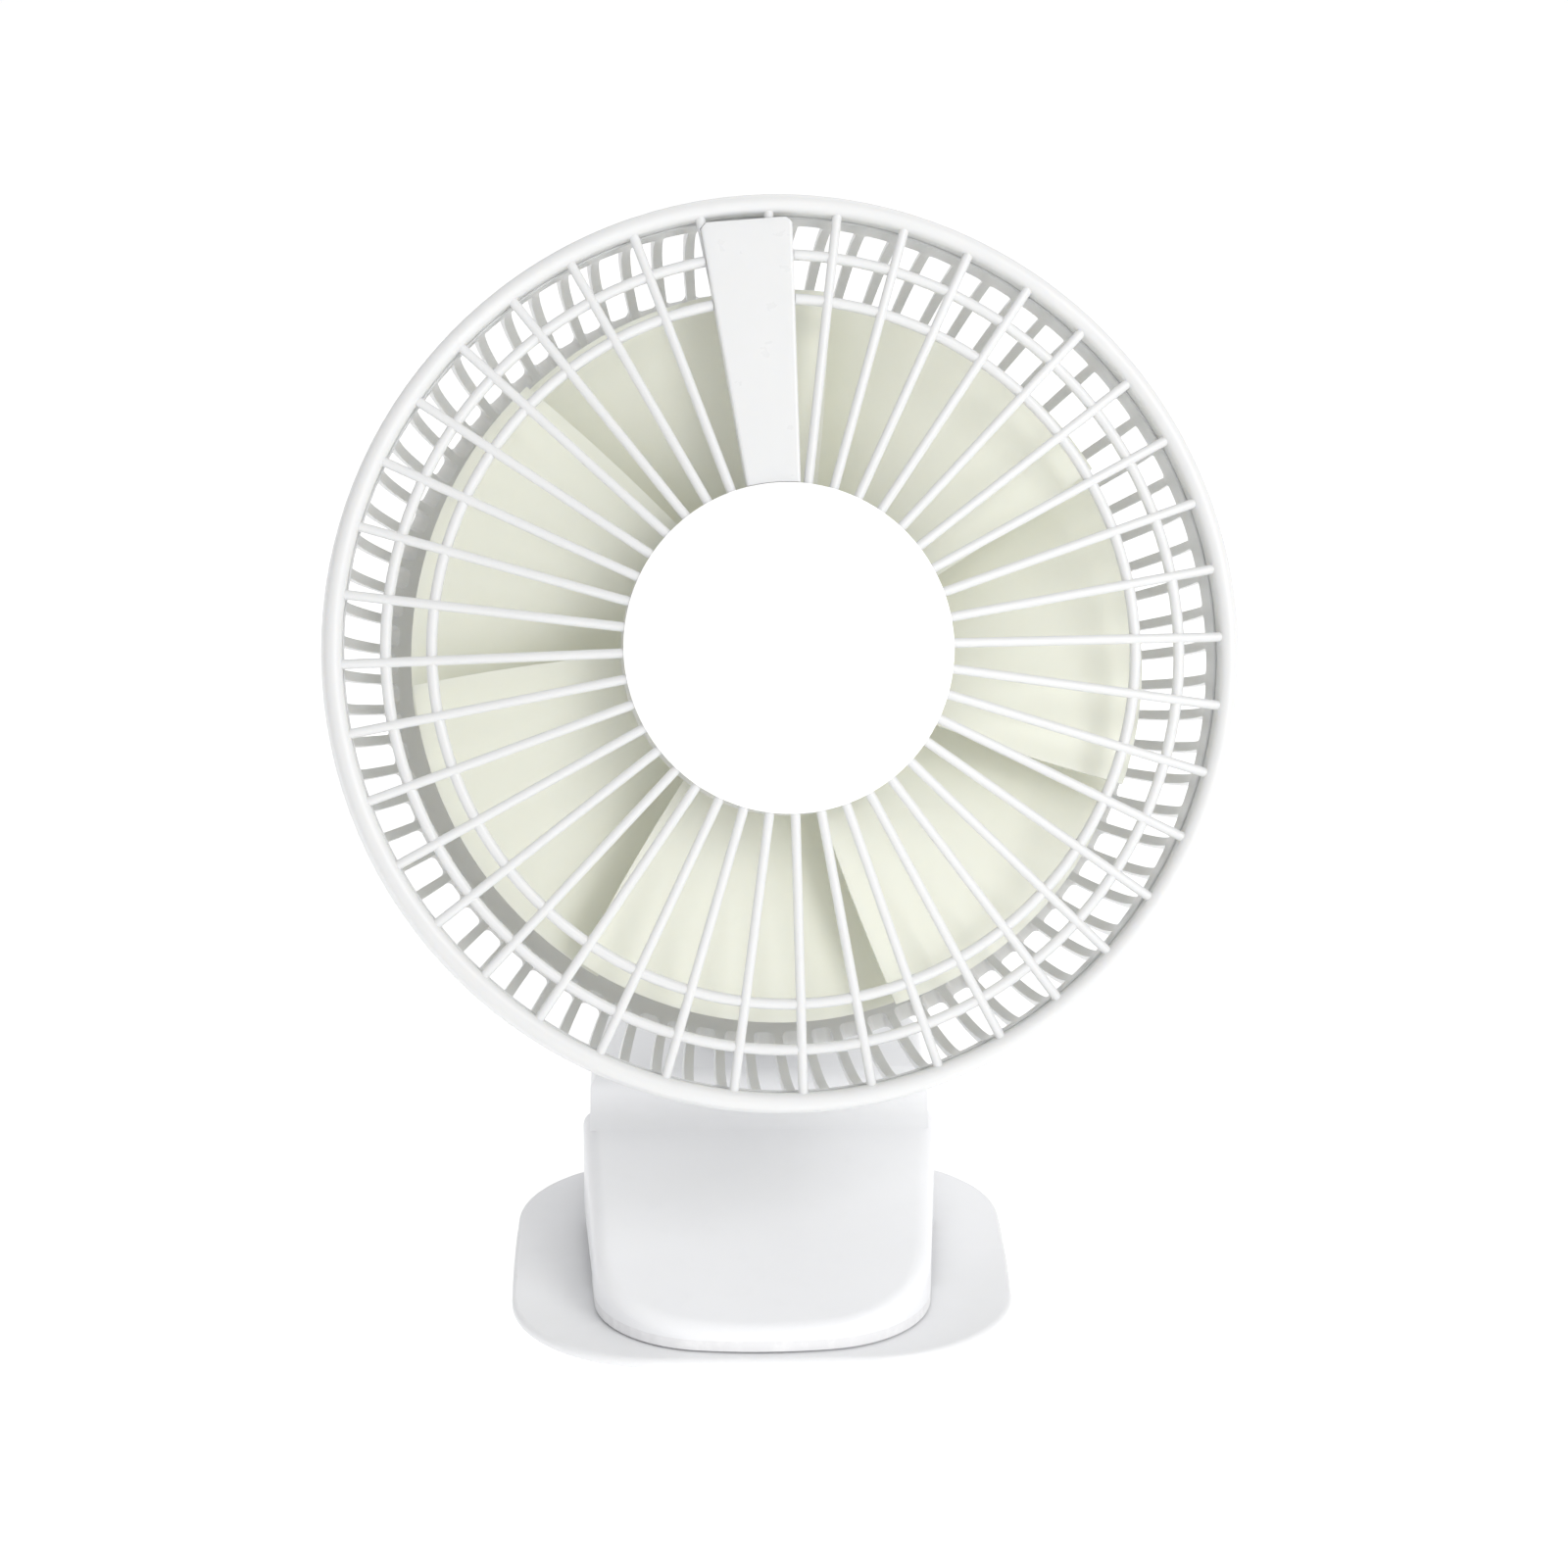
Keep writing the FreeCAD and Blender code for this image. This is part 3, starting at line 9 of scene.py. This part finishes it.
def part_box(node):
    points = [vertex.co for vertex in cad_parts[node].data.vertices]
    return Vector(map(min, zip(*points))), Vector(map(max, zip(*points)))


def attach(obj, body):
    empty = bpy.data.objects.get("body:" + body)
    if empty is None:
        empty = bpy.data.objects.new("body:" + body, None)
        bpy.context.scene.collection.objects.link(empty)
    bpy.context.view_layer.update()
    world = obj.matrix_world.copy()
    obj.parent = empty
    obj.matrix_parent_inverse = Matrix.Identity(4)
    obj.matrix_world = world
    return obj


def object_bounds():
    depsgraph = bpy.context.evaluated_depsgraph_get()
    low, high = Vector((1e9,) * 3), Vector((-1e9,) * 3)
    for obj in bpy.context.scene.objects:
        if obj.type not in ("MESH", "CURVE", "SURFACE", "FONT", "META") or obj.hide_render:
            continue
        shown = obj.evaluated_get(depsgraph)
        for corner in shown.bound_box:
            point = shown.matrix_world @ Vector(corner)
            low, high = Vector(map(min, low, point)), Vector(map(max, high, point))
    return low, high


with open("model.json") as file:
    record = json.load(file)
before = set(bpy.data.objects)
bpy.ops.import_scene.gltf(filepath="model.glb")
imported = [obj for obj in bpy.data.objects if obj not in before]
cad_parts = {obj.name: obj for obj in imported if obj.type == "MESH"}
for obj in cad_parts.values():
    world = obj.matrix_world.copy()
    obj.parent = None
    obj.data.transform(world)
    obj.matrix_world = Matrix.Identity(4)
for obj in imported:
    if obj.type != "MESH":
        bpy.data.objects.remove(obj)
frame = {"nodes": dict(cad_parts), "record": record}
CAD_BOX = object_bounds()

# A white clip-on desk fan. Metres, +Z up, -Y towards the viewer.

MM = 0.001
BEAD_INSET = 3.42 * MM      # from the outside of the rim in to the bead
BEAD_DEPTH = 5.3 * MM       # where the cage's halves meet, behind the inner ring
BEAD_HALF = 0.45 * MM
SYMBOL_LINE = 0.17 * MM     # half the width of the button's lines
SYMBOL_PROUD = 0.03 * MM
RECORD = frame["record"]
LOW, HIGH = Vector(CAD_BOX[0]), Vector(CAD_BOX[1])
MIDDLE = (LOW + HIGH) / 2
JOINTS = {row["name"]: row for row in RECORD["behaviour"]["joints"]}


# ---- material building blocks ----------------------------------------------------
class Surface:
    """A node-built material: Principled shader, object coordinates in metres."""

    def __init__(self, name, colour, roughness):
        self.material = bpy.data.materials.new(name)
        self.material.use_nodes = True
        self.tree = self.material.node_tree
        self.shader = self.tree.nodes["Principled BSDF"]
        self.colour = colour
        self.roughness = roughness
        self.shader.inputs["Base Color"].default_value = (*colour, 1)
        self.shader.inputs["Roughness"].default_value = roughness
        self.coords = self.node("ShaderNodeTexCoord").outputs["Object"]
        self.normal = None

    def node(self, kind, **settings):
        made = self.tree.nodes.new(kind)
        for key, value in settings.items():
            setattr(made, key, value)
        return made

    def link(self, start, end):
        self.tree.links.new(start, end)

    def set(self, **values):
        for key, value in values.items():
            self.shader.inputs[key.replace("_", " ")].default_value = value
        return self

    def noise(self, feature, detail=4.0, stretch=(1, 1, 1)):
        """Noise whose features are about this many metres across."""
        mapping = self.node("ShaderNodeMapping")
        mapping.inputs["Scale"].default_value = stretch
        self.link(self.coords, mapping.inputs["Vector"])
        made = self.node("ShaderNodeTexNoise")
        made.inputs["Scale"].default_value = 1 / feature
        made.inputs["Detail"].default_value = detail
        self.link(mapping.outputs["Vector"], made.inputs["Vector"])
        return made.outputs["Fac"]

    def bands(self, spacing, direction, distortion=0.0):
        """Parallel ridges this many metres apart."""
        made = self.node("ShaderNodeTexWave", wave_type="BANDS", bands_direction=direction)
        made.inputs["Scale"].default_value = math.pi / 10 / spacing
        made.inputs["Distortion"].default_value = distortion
        self.link(self.coords, made.inputs["Vector"])
        return made.outputs["Fac"]

    def ramp(self, value, low, high, start, end):
        """Maps value's low..high onto start..end."""
        made = self.node("ShaderNodeMapRange")
        for key, number in zip(("From Min", "From Max", "To Min", "To Max"), (low, high, start, end)):
            made.inputs[key].default_value = number
        self.link(value, made.inputs["Value"])
        return made.outputs["Result"]

    def maths(self, operation, first, second):
        made = self.node("ShaderNodeMath", operation=operation, use_clamp=True)
        for socket, value in zip(made.inputs, (first, second)):
            if isinstance(value, (int, float)):
                socket.default_value = value
            else:
                self.link(value, socket)
        return made.outputs["Value"]

    def tint(self, factor, colour):
        """Mixes another colour over the base colour where factor is high."""
        made = self.node("ShaderNodeMix", data_type="RGBA")
        base = self.shader.inputs["Base Color"]
        if base.is_linked:
            self.link(base.links[0].from_socket, made.inputs[6])
        else:
            made.inputs[6].default_value = base.default_value
        made.inputs[7].default_value = (*colour, 1)
        self.link(factor, made.inputs[0])
        self.link(made.outputs[2], base)
        return self

    def bump(self, height, depth, strength=1.0):
        """Stacks a bump whose full height is depth metres."""
        made = self.node("ShaderNodeBump")
        made.inputs["Strength"].default_value = strength
        made.inputs["Distance"].default_value = depth
        self.link(height, made.inputs["Height"])
        if self.normal is not None:
            self.link(self.normal, made.inputs["Normal"])
        self.normal = made.outputs["Normal"]
        self.link(self.normal, self.shader.inputs["Normal"])
        return self

    def rough(self, value):
        self.link(value, self.shader.inputs["Roughness"])
        return self

    def edges(self, low=0.52, high=0.60):
        """1 along outside edges, where handling polishes the surface."""
        made = self.node("ShaderNodeNewGeometry")
        return self.ramp(made.outputs["Pointiness"], low, high, 0.0, 1.0)


def shade(colour, factor):
    return tuple(min(1.0, channel * factor) for channel in colour)


def moulded(name, colour, roughness, grain=0.25 * MM, grain_depth=0.006 * MM, glow=0.0, shadow=0.955):
    """Injection-moulded plastic: spark-eroded grain, faint flow marks, rubbed edges."""
    made = Surface(name, colour, roughness)
    flow = made.noise(28 * MM, 3.0, (1.0, 1.0, 0.55))
    mottle = made.noise(3.5 * MM, 5.0)
    made.tint(made.ramp(flow, 0.35, 0.75, 0.0, 0.7), shade(colour, shadow))
    made.tint(made.ramp(mottle, 0.55, 0.85, 0.0, 0.25), shade(colour, 0.93))
    wear = made.edges()
    made.tint(made.maths("MULTIPLY", wear, 0.35), shade(colour, 1.05))
    rubs = made.noise(2.5 * MM, 3.0, (0.6, 1.0, 1.0))
    spread = made.ramp(rubs, 0.3, 0.7, roughness * 0.98, roughness * 1.03)
    made.rough(made.maths("SUBTRACT", spread, made.maths("MULTIPLY", wear, 0.08)))
    made.bump(made.noise(grain, 2.0), grain_depth)
    made.bump(made.noise(14 * MM, 1.0), 0.02 * MM, 0.3)
    if glow:
        made.set(Subsurface_Weight=glow, Subsurface_Scale=3 * MM)
        made.shader.inputs["Subsurface Radius"].default_value = (1.0, 0.9, 0.75)
    return made


def metal(name, colour, roughness, stretch=(1, 1, 1), scratch_depth=0.004 * MM):
    """Plated or ground steel with fine drawn lines and dulled patches."""
    made = Surface(name, colour, roughness)
    made.set(Metallic=1.0)
    lines = made.noise(0.35 * MM, 4.0, stretch)
    dull = made.noise(4 * MM, 4.0)
    made.tint(made.ramp(dull, 0.45, 0.8, 0.0, 0.6), shade(colour, 0.72))
    made.rough(made.ramp(lines, 0.3, 0.7, roughness * 0.75, roughness * 1.4))
    made.bump(lines, scratch_depth)
    return made


def rubbery(name, colour, roughness=0.8):
    """Soft matt rubber: fine tooth, dust in the pores."""
    made = Surface(name, colour, roughness)
    dust = made.noise(2.2 * MM, 6.0)
    made.tint(made.ramp(dust, 0.5, 0.8, 0.0, 0.6), shade(colour, 1.2))
    made.rough(made.ramp(dust, 0.3, 0.8, roughness - 0.08, min(1.0, roughness + 0.12)))
    made.bump(made.noise(0.4 * MM, 3.0), 0.02 * MM)
    made.set(Sheen_Weight=0.15)
    return made


# ---- the fan's materials ----------------------------------------------------------
def guard_white():
    # Darker than the shell's white: painted shade, the same white plastic toned down because the
    # forward-facing guard takes more of the lamps' light.
    return moulded("guard_white", (0.76, 0.765, 0.77), 0.36, glow=0.30)


def shell_white():
    # Lighter than the guard's white: painted light, the same white plastic lifted because the head
    # overhangs the body and shades it.
    return moulded("shell_white", (0.92, 0.925, 0.945), 0.46, glow=0.05)


def plate_white():
    return moulded("plate_white", (0.86, 0.865, 0.88), 0.42, glow=0.05)


def blade_ivory():
    # The green-beige base colour is painted shade: white blades given the tone they take in the
    # shadow inside the cage.
    return moulded("blade_ivory", (0.86, 0.87, 0.765), 0.40, glow=0.40, shadow=0.95)


def pad_rubber():
    made = rubbery("pad_rubber", (0.84, 0.84, 0.855))
    made.bump(made.bands(1.6 * MM, "Y"), 0.08 * MM)
    return made


def sole_rubber():
    made = rubbery("sole_rubber", (0.42, 0.42, 0.43))
    made.bump(made.bands(2.2 * MM, "DIAGONAL"), 0.10 * MM)
    return made


def lamp_diffuser():
    colour = (0.95, 0.955, 0.95)
    made = moulded("lamp_diffuser", colour, 0.28, grain_depth=0.002 * MM, glow=0.3)
    low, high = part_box("lamp_diffuser")
    centre = (low + high) / 2
    offset = made.node("ShaderNodeVectorMath", operation="SUBTRACT")
    made.link(made.coords, offset.inputs[0])
    offset.inputs[1].default_value = centre
    length = made.node("ShaderNodeVectorMath", operation="LENGTH")
    made.link(offset.outputs["Vector"], length.inputs[0])
    radius = (high.x - low.x) / 2
    fade = made.ramp(length.outputs["Value"], 0.55 * radius, 1.02 * radius, 0.55, 0.30)
    made.set(Emission_Color=(1.0, 1.0, 0.985, 1))
    made.link(fade, made.shader.inputs["Emission Strength"])
    return made


def circuit_board():
    made = Surface("circuit_board", (0.02, 0.16, 0.06), 0.35)
    tracks = made.bands(0.9 * MM, "X", 2.0)
    made.tint(made.ramp(tracks, 0.7, 1.0, 0.0, 0.35), (0.04, 0.28, 0.10))
    made.rough(made.ramp(made.noise(1.5 * MM), 0.3, 0.7, 0.28, 0.45))
    made.bump(tracks, 0.02 * MM)
    return made


def indicator_lens():
    made = moulded("indicator_lens", (0.72, 0.80, 0.86), 0.18, glow=0.4)
    made.set(Emission_Color=(0.35, 0.7, 1.0, 1), Emission_Strength=0.25)
    return made


MAKERS = {
    "guard_white": guard_white,
    "shell_white": shell_white,
    "plate_white": plate_white,
    "blade_ivory": blade_ivory,
    "lamp_diffuser": lamp_diffuser,
    "circuit_board": circuit_board,
    "indicator_lens": indicator_lens,
    "button_white": lambda: moulded("button_white", (0.80, 0.805, 0.83), 0.38, glow=0.05),
    "pad_rubber": pad_rubber,
    "sole_rubber": sole_rubber,
    "battery_wrap": lambda: moulded("battery_wrap", (0.05, 0.09, 0.22), 0.30),
    "motor_plastic": lambda: moulded("motor_plastic", (0.02, 0.02, 0.02), 0.5, shadow=1.6),
    "washer_nylon": lambda: moulded("washer_nylon", (0.80, 0.79, 0.74), 0.45, glow=0.1),
    "led": lambda: moulded("led", (0.92, 0.88, 0.55), 0.25),
    "socket_steel": lambda: metal("socket_steel", (0.62, 0.62, 0.63), 0.28, (1, 0.1, 1)),
    "screw_steel": lambda: metal("screw_steel", (0.60, 0.60, 0.62), 0.30),
    "nut_steel": lambda: metal("nut_steel", (0.60, 0.60, 0.62), 0.32),
    "pin_steel": lambda: metal("pin_steel", (0.62, 0.62, 0.63), 0.22, (1, 0.1, 0.1)),
    "spring_steel": lambda: metal("spring_steel", (0.30, 0.30, 0.31), 0.35),
    "motor_steel": lambda: metal("motor_steel", (0.52, 0.52, 0.53), 0.30, (1, 0.1, 1)),
    "rotor_steel": lambda: metal("rotor_steel", (0.25, 0.25, 0.26), 0.45, (0.1, 1, 0.1)),
    "magnet": lambda: metal("magnet", (0.06, 0.06, 0.065), 0.6),
    "bearing_brass": lambda: metal("bearing_brass", (0.70, 0.50, 0.22), 0.35),
}


def paint_frame():
    """Gives every CAD node the detailed material of its slot."""
    slots = {row["node"]: row["material_slot"] for row in RECORD["subparts"]}
    made = {}
    for node, piece in frame["nodes"].items():
        slot = slots[node]
        if slot not in made:
            made[slot] = MAKERS[slot]().material
        piece.data.materials.clear()
        piece.data.materials.append(made[slot])
        for polygon in piece.data.polygons:
            polygon.material_index = 0
    return made


# ---- small pieces that only show ------------------------------------------------------
def joint_frame(name, back):
    """Matrix whose origin is a joint's place and whose Y axis runs along the way back."""
    back = Vector(back).normalized()
    right = back.cross(Vector((0, 0, 1))).normalized()
    up = right.cross(back)
    turn = Matrix((right, back, up)).transposed().to_4x4()
    return Matrix.Translation(Vector(JOINTS[name]["pos_m"])) @ turn


def piece_from(name, shape):
    """Turns a finished bmesh into an object of the scene."""
    mesh = bpy.data.meshes.new(name)
    shape.to_mesh(mesh)
    shape.free()
    piece = bpy.data.objects.new(name, mesh)
    bpy.context.scene.collection.objects.link(piece)
    return piece


def lathe(name, outline, place, steps=180, arc=360.0, start=0.0):
    """Ring about place's Y axis from a closed outline of (radius, depth) pairs."""
    shape = bmesh.new()
    closed = arc >= 360.0
    loops = []
    for step in range(steps if closed else steps + 1):
        angle = math.radians(start + arc * step / steps)
        loops.append([shape.verts.new((radius * math.cos(angle), depth, radius * math.sin(angle)))
                      for radius, depth in outline])
    count = len(outline)
    for step in range(steps):
        here, after = loops[step], loops[(step + 1) % len(loops)]
        for corner in range(count):
            side = (corner + 1) % count
            shape.faces.new((here[corner], here[side], after[side], after[corner]))
    if not closed:
        shape.faces.new(loops[0])
        shape.faces.new(list(reversed(loops[-1])))
    bmesh.ops.recalc_face_normals(shape, faces=shape.faces)
    shape.transform(place)
    return piece_from(name, shape)


def guard_radius(place):
    """Largest distance of the front guard from the fan's axis."""
    piece = frame["nodes"]["front_guard"]
    to_head = place.inverted() @ piece.matrix_world
    return max(math.hypot(*(to_head @ vertex.co).xz) for vertex in piece.data.vertices)


def snap_bead(materials):
    """Rounded bead inside the rim that hides the parting line of the two halves."""
    place = joint_frame("fan_spin", [-part for part in JOINTS["fan_spin"]["axis"]])
    radius = guard_radius(place) - BEAD_INSET
    crest = radius - 0.7 * BEAD_HALF
    outline = [(radius, BEAD_DEPTH - BEAD_HALF), (radius, BEAD_DEPTH + BEAD_HALF),
               (crest, BEAD_DEPTH + 0.6 * BEAD_HALF), (crest, BEAD_DEPTH - 0.6 * BEAD_HALF)]
    piece = lathe("snap_bead", outline, place)
    piece.data.materials.append(materials["guard_white"])
    for polygon in piece.data.polygons:
        polygon.use_smooth = True
    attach(piece, "head")


def upright_bar(name, bottom, top, place):
    """Line of the symbol, standing on place's XZ plane."""
    shape = bmesh.new()
    outline = [(-SYMBOL_LINE, bottom), (SYMBOL_LINE, bottom), (SYMBOL_LINE, top), (-SYMBOL_LINE, top)]
    ends = [[shape.verts.new((x, depth, z)) for x, z in outline]
            for depth in (-SYMBOL_PROUD, SYMBOL_PROUD)]
    shape.faces.new(ends[0])
    shape.faces.new(list(reversed(ends[1])))
    for corner in range(4):
        side = (corner + 1) % 4
        shape.faces.new((ends[0][corner], ends[0][side], ends[1][side], ends[1][corner]))
    bmesh.ops.recalc_face_normals(shape, faces=shape.faces)
    shape.transform(place)
    return piece_from(name, shape)


def power_symbol():
    """Generic broken ring and bar, raised on the button."""
    low, high = (Vector(corner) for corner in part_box("power_button"))
    centre = (low + high) / 2
    place = Matrix.Translation(Vector((centre.x, high.y, centre.z)))
    radius = 0.42 * (high.x - low.x) / 2
    inner, outer = radius - SYMBOL_LINE, radius + SYMBOL_LINE
    outline = [(inner, -SYMBOL_PROUD), (outer, -SYMBOL_PROUD),
               (outer, SYMBOL_PROUD), (inner, SYMBOL_PROUD)]
    ring = lathe("power_ring", outline, place, steps=48, arc=290.0, start=125.0)
    bar = upright_bar("power_bar", 0.35 * radius, 1.25 * radius, place)
    ink = moulded("symbol_grey", (0.22, 0.23, 0.25), 0.5).material
    for piece in (ring, bar):
        piece.data.materials.append(ink)
        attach(piece, "button")


# ---- floor, light and camera --------------------------------------------------------
def floor():
    reach = 20.0
    mesh = bpy.data.meshes.new("floor")
    signs = [(-1, -1), (1, -1), (1, 1), (-1, 1)]
    mesh.from_pydata([(x * reach, y * reach, LOW.z) for x, y in signs], [], [(0, 1, 2, 3)])
    piece = bpy.data.objects.new("floor", mesh)
    bpy.context.scene.collection.objects.link(piece)
    surface = Surface("floor_paper", (0.92, 0.92, 0.92), 0.75)
    surface.tint(surface.ramp(surface.noise(60 * MM), 0.4, 0.7, 0.0, 0.3), (0.90, 0.90, 0.905))
    surface.bump(surface.noise(0.6 * MM), 0.01 * MM)
    surface.set(Emission_Color=(1, 1, 1, 1), Emission_Strength=0.40)
    mesh.materials.append(surface.material)


def softbox(name, place, size, power, colour=(1, 1, 1)):
    light = bpy.data.lights.new(name, "AREA")
    light.shape = "DISK"
    light.size = size
    light.energy = power
    light.color = colour
    piece = bpy.data.objects.new(name, light)
    bpy.context.scene.collection.objects.link(piece)
    piece.location = place
    piece.rotation_euler = (MIDDLE - Vector(place)).to_track_quat("-Z", "Y").to_euler()


def studio():
    world = bpy.data.worlds.new("studio")
    bpy.context.scene.world = world
    world.use_nodes = True
    background = world.node_tree.nodes["Background"]
    background.inputs["Color"].default_value = (1.0, 1.0, 1.0, 1)
    background.inputs["Strength"].default_value = 0.635
    softbox("key", (0.60, -0.75, 0.72), 0.6, 4.2, (1.0, 0.995, 0.98))
    softbox("front", (0.55, -0.95, 0.30), 0.5, 1.3, (1.0, 0.995, 0.98))
    softbox("back", (0.1, 0.6, 0.95), 0.8, 2.0)
    bpy.context.scene.view_settings.view_transform = "Standard"


def camera():
    distance = 0.700
    elevation = math.radians(18.2)
    azimuth = math.radians(-1.3)
    aim = Vector((MIDDLE.x + 0.6 * MM, 0.0, MIDDLE.z - 4.2 * MM))
    level = math.cos(elevation)
    back = Vector((math.sin(azimuth) * level, -math.cos(azimuth) * level, math.sin(elevation)))
    data = bpy.data.cameras.new("camera")
    data.sensor_width = 36.0
    data.lens = 97.6
    data.clip_start = 0.01
    piece = bpy.data.objects.new("camera", data)
    bpy.context.scene.collection.objects.link(piece)
    piece.location = aim + back * distance
    piece.rotation_euler = (-back).to_track_quat("-Z", "Y").to_euler()
    bpy.context.scene.camera = piece


floor()
studio()
camera()
finishes = paint_frame()
snap_bead(finishes)
power_symbol()
